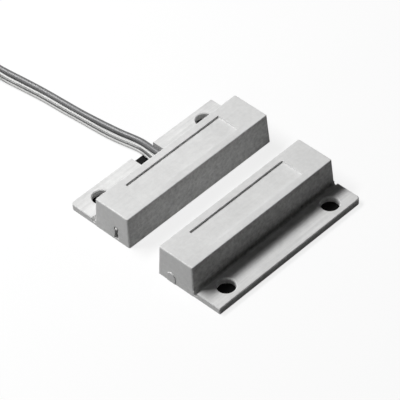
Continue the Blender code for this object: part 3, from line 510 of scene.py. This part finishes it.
def grey_moulding():
    """Its tone is 1, plus broad clouds, plus streaks along the unit that are faint on the tops and
    deeper on the low flange, plus a mottle that is deep only on the long upright sides, plus a
    little along the edges, which is partly rubbing and partly a painted highlight. The edges are
    glossier too, and the grain and the streaks stand in relief."""
    made, add, feed = new_material("grey_moulding", GREY_MOULDING, Specular_IOR_Level=0.35)
    coordinates = add("ShaderNodeTexCoord").outputs
    place = coordinates["Object"]
    facing = add("ShaderNodeSeparateXYZ", {"Vector": coordinates["Normal"]}).outputs["Y"]
    sideways = add("ShaderNodeMath", {0: facing}, operation="ABSOLUTE").outputs[0]
    long_side = ramp(add, sideways, (0.35, 0.75), (0.0, 1.0), "SMOOTHSTEP")
    height = add("ShaderNodeSeparateXYZ", {"Vector": place}).outputs["Z"]

    clouds = add("ShaderNodeTexNoise", {"Vector": place, "Scale": 110.0,
                                        "Detail": 2.0}).outputs["Fac"]
    cloudy = ramp(add, clouds, NOISE_SPAN, (-0.045, 0.045))
    along = add("ShaderNodeMapping", {"Vector": place, "Scale": STREAK_SCALE})
    rubbed = add("ShaderNodeTexNoise", {"Vector": along.outputs["Vector"], "Scale": 1.0,
                                        "Detail": 4.0, "Roughness": 0.6}).outputs["Fac"]
    streak_depth = ramp(add, height, (FLANGE_TOP, FAINT_STREAKS_FROM), (0.08, 0.022))
    streaked = times_plus(add, ramp(add, rubbed, NOISE_SPAN, (-1.0, 1.0)), streak_depth, cloudy)
    mottle = add("ShaderNodeGroup", {"Vector": place, "Patch": 900.0, "Grain": 4200.0,
                                     "Grain Share": 0.35}, node_tree=BLOTCH).outputs
    spots = ramp(add, mottle["Value"], (0.36, 0.64), (-1.0, 1.0))
    spot_depth = ramp(add, long_side, (0.0, 1.0), (0.05, 0.25))
    spotted = times_plus(add, spots, spot_depth, streaked)
    # The edges are lightened a little: partly rubbed wear, partly a painted highlight along them.
    rub_and_highlight_edges = add("ShaderNodeGroup", {"Vector": place, "Width": EDGE_WIDTH, "Breaks": EDGE_BREAKS},
                node_tree=EDGE_RUB_AND_HIGHLIGHT).outputs["Mask"]
    lightened = times_plus(add, rub_and_highlight_edges, 0.06, spotted)
    shade = add("ShaderNodeMath", {0: lightened, 1: 1.0}, operation="ADD").outputs[0]

    dull = ramp(add, mottle["Patch Value"], NOISE_SPAN, (0.38, 0.5))
    grain = relief(add, mottle["Grain Value"], strength=0.22, distance=0.00004)
    feed(Base_Color=toned(add, GREY_MOULDING, shade),
         Roughness=times_plus(add, rub_and_highlight_edges, -0.05, dull),
         Normal=relief(add, rubbed, strength=0.2, distance=0.00008, Normal=grain))
    return made


moulding = grey_moulding()
dress("switch_housing", moulding)
dress("magnet_housing", moulding)

# The resin: black two-part casting resin, poured with the housings upside down and left to set, so
# its face is smooth, with a few pinholes and a faint skin.
RESIN_BLACK = (0.02, 0.02, 0.022)


def casting_resin():
    """Its tone follows broad patches of noise, and pinholes are the near surroundings of scattered
    points, sunk in relief."""
    made, add, feed = new_material("dark_resin", RESIN_BLACK, Roughness=0.3)
    place = add("ShaderNodeTexCoord").outputs["Object"]
    skin = add("ShaderNodeGroup", {"Vector": place, "Patch": 150.0, "Grain": 900.0,
                                   "Grain Share": 0.2}, node_tree=BLOTCH).outputs["Value"]
    pores = add("ShaderNodeTexVoronoi", {"Vector": place, "Scale": 700.0}).outputs["Distance"]
    pits = ramp(add, pores, (0.0, 0.12), (0.0, 1.0))
    feed(Base_Color=toned(add, RESIN_BLACK, ramp(add, skin, NOISE_SPAN, (0.7, 1.5))),
         Normal=relief(add, pits, strength=0.5, distance=0.00006))
    return made


resin = casting_resin()
dress("switch_potting", resin)
dress("magnet_potting", resin)

# The reed switch: two nickel-iron reeds sealed in a capsule of green glass, which is closed over
# them by heat. The leads are tin-dipped, and one is cropped in the end window.
GLASS_GREEN = (0.62, 0.78, 0.68)
TIN_WHITE_AND_HIGHLIGHT = (0.93, 0.925, 0.91)
METAL_GRAIN_RATIO = 6


def capsule_glass():
    """Green glass, its face rippled by noise where it flowed."""
    made, add, feed = new_material("reed_glass", GLASS_GREEN, Roughness=0.04,
                                   Transmission_Weight=0.9, IOR=1.5)
    place = add("ShaderNodeTexCoord").outputs["Object"]
    ripple = add("ShaderNodeTexNoise", {"Vector": place, "Scale": 500.0,
                                        "Detail": 2.0}).outputs["Fac"]
    feed(Normal=relief(add, ripple, strength=0.15, distance=0.00005))
    return made


def bright_metal(name, colour, glossiest, dullest, patch, strength, metallic=1.0):
    """A metal whose roughness runs between two values in patches, over a faint relief of them. Its
    grain is several times as fine as the patches."""
    made, add, feed = new_material(name, colour, Metallic=metallic)
    place = add("ShaderNodeTexCoord").outputs["Object"]
    cloud = add("ShaderNodeGroup", {"Vector": place, "Patch": patch,
                                    "Grain": METAL_GRAIN_RATIO * patch, "Grain Share": 0.4},
                node_tree=BLOTCH).outputs["Value"]
    feed(Roughness=ramp(add, cloud, NOISE_SPAN, (glossiest, dullest)),
         Normal=relief(add, cloud, strength=strength, distance=0.00003))
    return made


dress("reed_glass", capsule_glass())
# The reed leads' tin is near white and only a little metallic, so that the cropped lead's end in
# the window shows as a bright dot: partly the tin's own colour, partly a painted highlight.
reed_wire = bright_metal("tinned_reed_wire", TIN_WHITE_AND_HIGHLIGHT, glossiest=0.38, dullest=0.58,
                         patch=1400.0, strength=0.3, metallic=0.15)
dress("reed_long_lead", reed_wire)
dress("reed_short_lead", reed_wire)

# The solder joints: tin-lead solder, melted over the reed leads and the leads' cores and set
# bright, with a skin that dulls it in patches.
SOLDER_GREY = (0.68, 0.69, 0.71)
solder = bright_metal("solder", SOLDER_GREY, glossiest=0.12, dullest=0.34, patch=900.0,
                      strength=0.35)
dress("light_solder_joint", solder)
dress("dark_solder_joint", solder)

# The bared cores: seven strands of tinned copper, twisted and dipped. Inside the housing they end
# at the solder joints, outside at the leads' tips.
CORE_GREY = (0.74, 0.72, 0.68)
CORE_DIAMETER = 0.0006
STRANDS = 7
LAY_LENGTH = 0.006
FLUTE_DEPTH = 0.16
FLUTE_POWER = 0.6
ROUNDED_SHARE = 0.04
ROUNDED_REACH = 0.93
STRAND_RINGS = 60
STRAND_SIDES = 8 * STRANDS

tinned_core = bright_metal("tinned_core", CORE_GREY, glossiest=0.18, dullest=0.42,
                           patch=2200.0, strength=0.25)
dress("light_lead_core", tinned_core)
dress("dark_lead_core", tinned_core)


def strand_rings(line):
    """A fluted and twisted rod with a rounded end.

    Each ring's radius dips between the strands as 1 - depth x (1 - |cos(n x angle / 2)|^power), n
    being the number of strands. Over the line's last share it falls as the root of 1 - reach^2.
    """
    angle = np.linspace(0.0, 2 * math.pi, STRAND_SIDES, endpoint=False)
    flute = 1.0 - FLUTE_DEPTH * (1.0 - np.abs(np.cos(STRANDS * angle / 2)) ** FLUTE_POWER)
    share = np.linspace(0.0, 1.0, len(line))
    reach = np.clip((share - (1.0 - ROUNDED_SHARE)) / ROUNDED_SHARE, 0.0, ROUNDED_REACH)
    radii = CORE_DIAMETER / 2 * flute[None, :] * np.sqrt(1.0 - reach**2)[:, None]
    return tube_rings(line, radii, STRAND_SIDES, 2 * math.pi / LAY_LENGTH)


coil_band = frame["nodes"]["coil_tie"]
for lead, run_piece, centre_line, also_on_it in (("light", light_run, light_line, [coil_band]),
                                                 ("dark", dark_run, dark_line, [])):
    low, high = (np.array(corner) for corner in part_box(f"{lead}_lead_tip"))
    middle = (low + high) / 2
    run = np.linspace(high[0], low[0], STRAND_RINGS)
    line = np.stack((run, np.full_like(run, middle[1]), np.full_like(run, middle[2])), axis=1)
    tip = add_piece(f"{lead}_strands", tube_mesh(f"{lead}_strands", strand_rings(line)),
                    "switch_unit", tinned_core)
    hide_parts(f"{lead}_lead_tip")

# The magnet: a bar of cast aluminium-nickel-cobalt alloy, its faces ground along their length. The
# resin holds it in its housing.
ALLOY_GREY = (0.33, 0.33, 0.34)
GRINDING_SCALE = (120.0, 6000.0, 6000.0)


def ground_alloy():
    """Grinding marks are noise that is long along the bar: they change the gloss and stand in
    relief."""
    made, add, feed = new_material("magnet_alloy", ALLOY_GREY, Metallic=1.0)
    place = add("ShaderNodeTexCoord").outputs["Object"]
    stretched = add("ShaderNodeMapping", {"Vector": place, "Scale": GRINDING_SCALE})
    marks = add("ShaderNodeTexNoise", {"Vector": stretched.outputs["Vector"], "Scale": 1.0,
                                       "Detail": 3.0}).outputs["Fac"]
    feed(Roughness=ramp(add, marks, NOISE_SPAN, (0.28, 0.5)),
         Normal=relief(add, marks, strength=0.4, distance=0.00002))
    return made


dress("bar_magnet", ground_alloy())

# The table and the light: a pale table, a soft box behind the pair and a low fill at its left. The
# view sees white studio, and the table white with a share of its own shading. All other light meets
# a dull table and a dark studio, so that the housings' shaded sides stay dark.
TABLE_SIZE = 3.0
TABLE_COLOUR = (0.95, 0.95, 0.95, 1.0)
WHITE = (1.0, 1.0, 1.0, 1.0)
SHADE_SHARE = 0.17
GLOSS_SHARE = 0.5
BOUNCE = 0.16
AMBIENT = 0.004


def seen_directly(add):
    """1 for a ray from the view or through glass, a share of 1 for one off a glossy face, and else
    0."""
    path = add("ShaderNodeLightPath").outputs
    straight = add("ShaderNodeMath", {0: path["Is Camera Ray"], 1: path["Is Transmission Ray"]},
                   operation="MAXIMUM").outputs[0]
    gloss = add("ShaderNodeMath", {0: path["Is Glossy Ray"], 1: GLOSS_SHARE},
                operation="MULTIPLY").outputs[0]
    return add("ShaderNodeMath", {0: straight, 1: gloss}, operation="MAXIMUM").outputs[0]


def bare_tree(owner):
    """Empties the nodes of a material or a world. Returns add for them."""
    owner.use_nodes = True
    owner.node_tree.nodes.clear()
    return node_maker(owner.node_tree)


def stage_sheet(name, low, high, height, finish):
    """A level rectangle of the studio between two corners, at a height."""
    mesh = bpy.data.meshes.new(name)
    mesh.from_pydata([(low[0], low[1], height), (high[0], low[1], height),
                      (high[0], high[1], height), (low[0], high[1], height)], [], [(0, 1, 2, 3)])
    mesh.materials.append(finish)
    sheet = bpy.data.objects.new(name, mesh)
    bpy.context.scene.collection.objects.link(sheet)
    return sheet


table_finish = bpy.data.materials.new("table")
add = bare_tree(table_finish)
bounce = add("ShaderNodeBsdfDiffuse", {"Color": (BOUNCE, BOUNCE, BOUNCE, 1.0)})
shown = add("ShaderNodeBsdfDiffuse", {"Color": TABLE_COLOUR})
white = add("ShaderNodeEmission", {"Color": WHITE, "Strength": 1.0})
seen = add("ShaderNodeMixShader", {"Fac": SHADE_SHARE, 1: white.outputs[0], 2: shown.outputs[0]})
mix = add("ShaderNodeMixShader", {0: seen_directly(add), 1: bounce.outputs[0],
                                  2: seen.outputs[0]})
add("ShaderNodeOutputMaterial", {"Surface": mix.outputs[0]})
half = TABLE_SIZE / 2
stage_sheet("table", (-half, -half), (half, half), 0.0, table_finish)

world = bpy.data.worlds.new("studio")
bpy.context.scene.world = world
add = bare_tree(world)
level = ramp(add, seen_directly(add), (0.0, 1.0), (AMBIENT, 1.0))
sky = add("ShaderNodeBackground", {"Color": WHITE, "Strength": level})
add("ShaderNodeOutputWorld", {"Surface": sky.outputs[0]})


def soft_box(name, toward, distance, size, watts):
    """A flat lamp at a distance along a direction from the pair, facing it, its width level."""
    data = bpy.data.lights.new(name, "AREA")
    data.shape = "RECTANGLE"
    data.size, data.size_y = size
    data.energy = watts
    lamp = bpy.data.objects.new(name, data)
    bpy.context.scene.collection.objects.link(lamp)
    away = Vector(toward).normalized()
    lamp.rotation_mode = "QUATERNION"
    lamp.rotation_quaternion = away.to_track_quat("Z", "Y")
    lamp.location = away * distance
    lamp.visible_camera = False


soft_box("key", toward=(-0.24, 0.62, 1.0), distance=0.42, size=(0.26, 0.085), watts=2.03)
soft_box("left_fill", toward=(-1.0, 0.12, 0.12), distance=1.2, size=(0.4, 0.16), watts=2.5)

# Each unit lies on a black sheet that stops short of its outline: painted shade, so that the screw
# holes and the gap in the switch unit's flange look black as if deep in shadow. None lies under the
# leads.
SHADE_CARD_HEIGHT = 0.00005
SHADE_CARD_BLACK = (0.012, 0.012, 0.012)
shade_card_finish = new_material("shade_card", SHADE_CARD_BLACK, Roughness=0.9, Specular_IOR_Level=0.1)[0]


def lay_shade_card(name, unit, low, high):
    """A black sheet of painted shade between two corners that goes where its unit goes."""
    shade_card = stage_sheet(name, low, high, SHADE_CARD_HEIGHT, shade_card_finish)
    shade_card.parent = frame["bodies"][unit]
    shade_card.matrix_parent_inverse = frame["bodies"][unit].matrix_world.inverted()


lay_shade_card("magnet_shade_card", "magnet_unit", low=(-0.0239, -0.0244), high=(0.0229, -0.0058))
lay_shade_card("switch_shade_card_left", "switch_unit", low=(-0.0229, 0.0058), high=(0.0006, 0.0249))
lay_shade_card("switch_shade_card_right", "switch_unit", low=(0.0049, 0.0058), high=(0.0239, 0.0247))

bpy.context.scene.view_settings.view_transform = "Standard"
